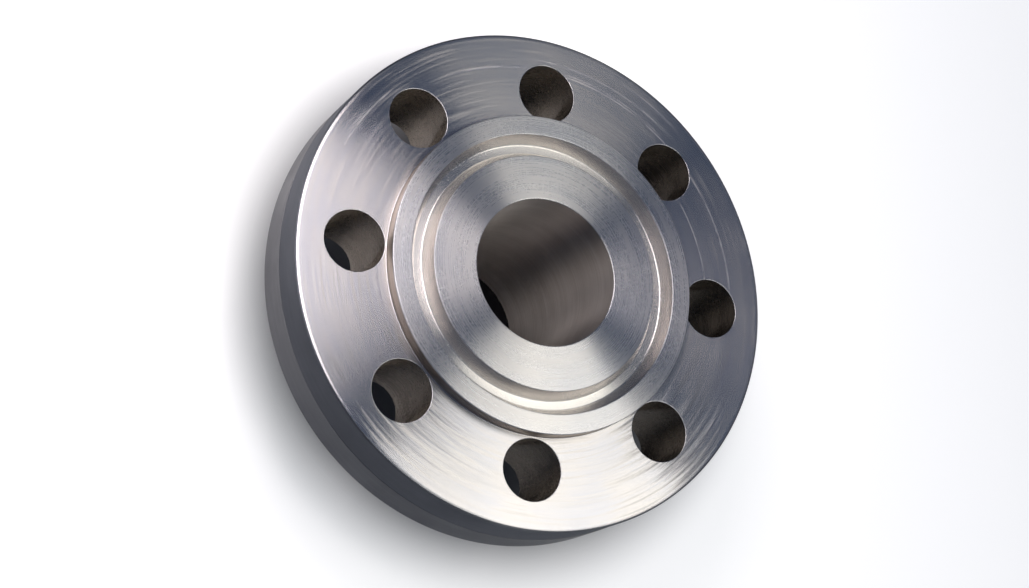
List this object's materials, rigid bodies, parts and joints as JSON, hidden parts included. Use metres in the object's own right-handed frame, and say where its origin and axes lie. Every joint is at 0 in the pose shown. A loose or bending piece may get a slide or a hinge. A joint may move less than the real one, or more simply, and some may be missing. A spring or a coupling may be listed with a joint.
{
  "type": "ring type joint flange",
  "caption": "Weld neck pipe flange with a raised face that holds a trapezoid ring joint groove, a circle of bolt holes and a long tapered hub.",
  "frame": {"origin": "centre of the bore at the weld end's root face, which is the lowest plane of the part", "axes": "+Z along the bore axis from the weld end to the ring joint face; +X and +Y each pass midway between two bolt holes"},
  "size_m": [0.265, 0.265, 0.1249],
  "materials": {
    "turned_steel": "bright turned stainless steel with concentric tool marks"
  },
  "bodies": {
    "root": {"ring_joint_flange": "turned_steel"}
  },
  "joints": []
}
